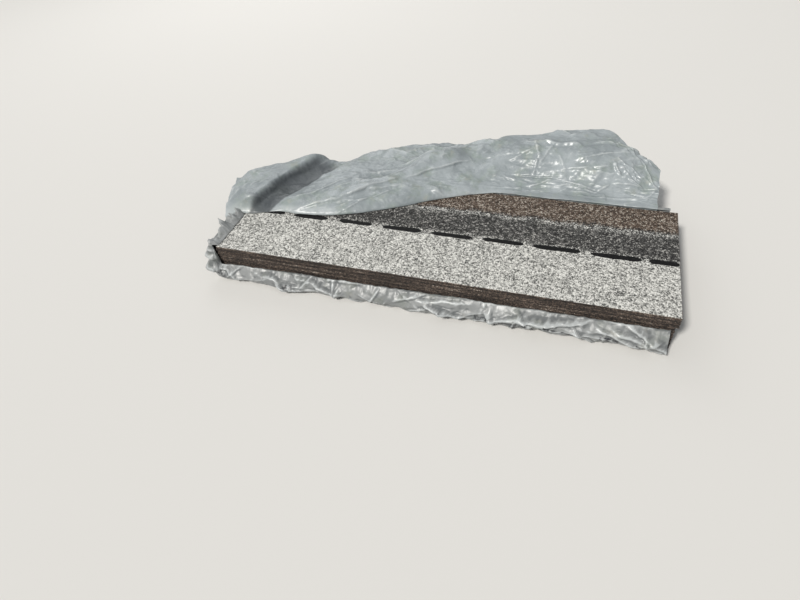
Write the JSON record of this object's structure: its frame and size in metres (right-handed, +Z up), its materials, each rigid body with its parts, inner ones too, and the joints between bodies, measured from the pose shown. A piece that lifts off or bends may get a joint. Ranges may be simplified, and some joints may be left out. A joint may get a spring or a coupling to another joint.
{
  "type": "asphalt shingle bundle",
  "caption": "Flat stack of granule-faced asphalt strip shingles in a torn-open crumpled plastic wrapper, its top film folded and thrown back.",
  "frame": {"origin": "on the floor, under the middle of the shingle stack", "axes": "+X along the shingles towards the torn-open end, +Y across the stack towards the thrown-back film, +Z up"},
  "size_m": [1.1046, 0.6606, 0.1548],
  "materials": {
    "granules": "matte",
    "film": "semi-gloss"
  },
  "bodies": {
    "root": {"shingle_01": "granules", "shingle_02": "granules", "shingle_03": "granules", "shingle_04": "granules", "shingle_05": "granules", "shingle_06": "granules", "shingle_07": "granules", "shingle_08": "granules", "shingle_09": "granules", "shingle_10": "granules", "shingle_11": "granules", "shingle_12": "granules", "shingle_13": "granules", "shingle_14": "granules", "shingle_15": "granules", "shingle_16": "granules", "shingle_17": "granules", "shingle_18": "granules", "shingle_19": "granules", "shingle_20": "granules", "shingle_21": "granules", "shingle_22": "granules", "wrapper_film": "film"}
  },
  "joints": []
}
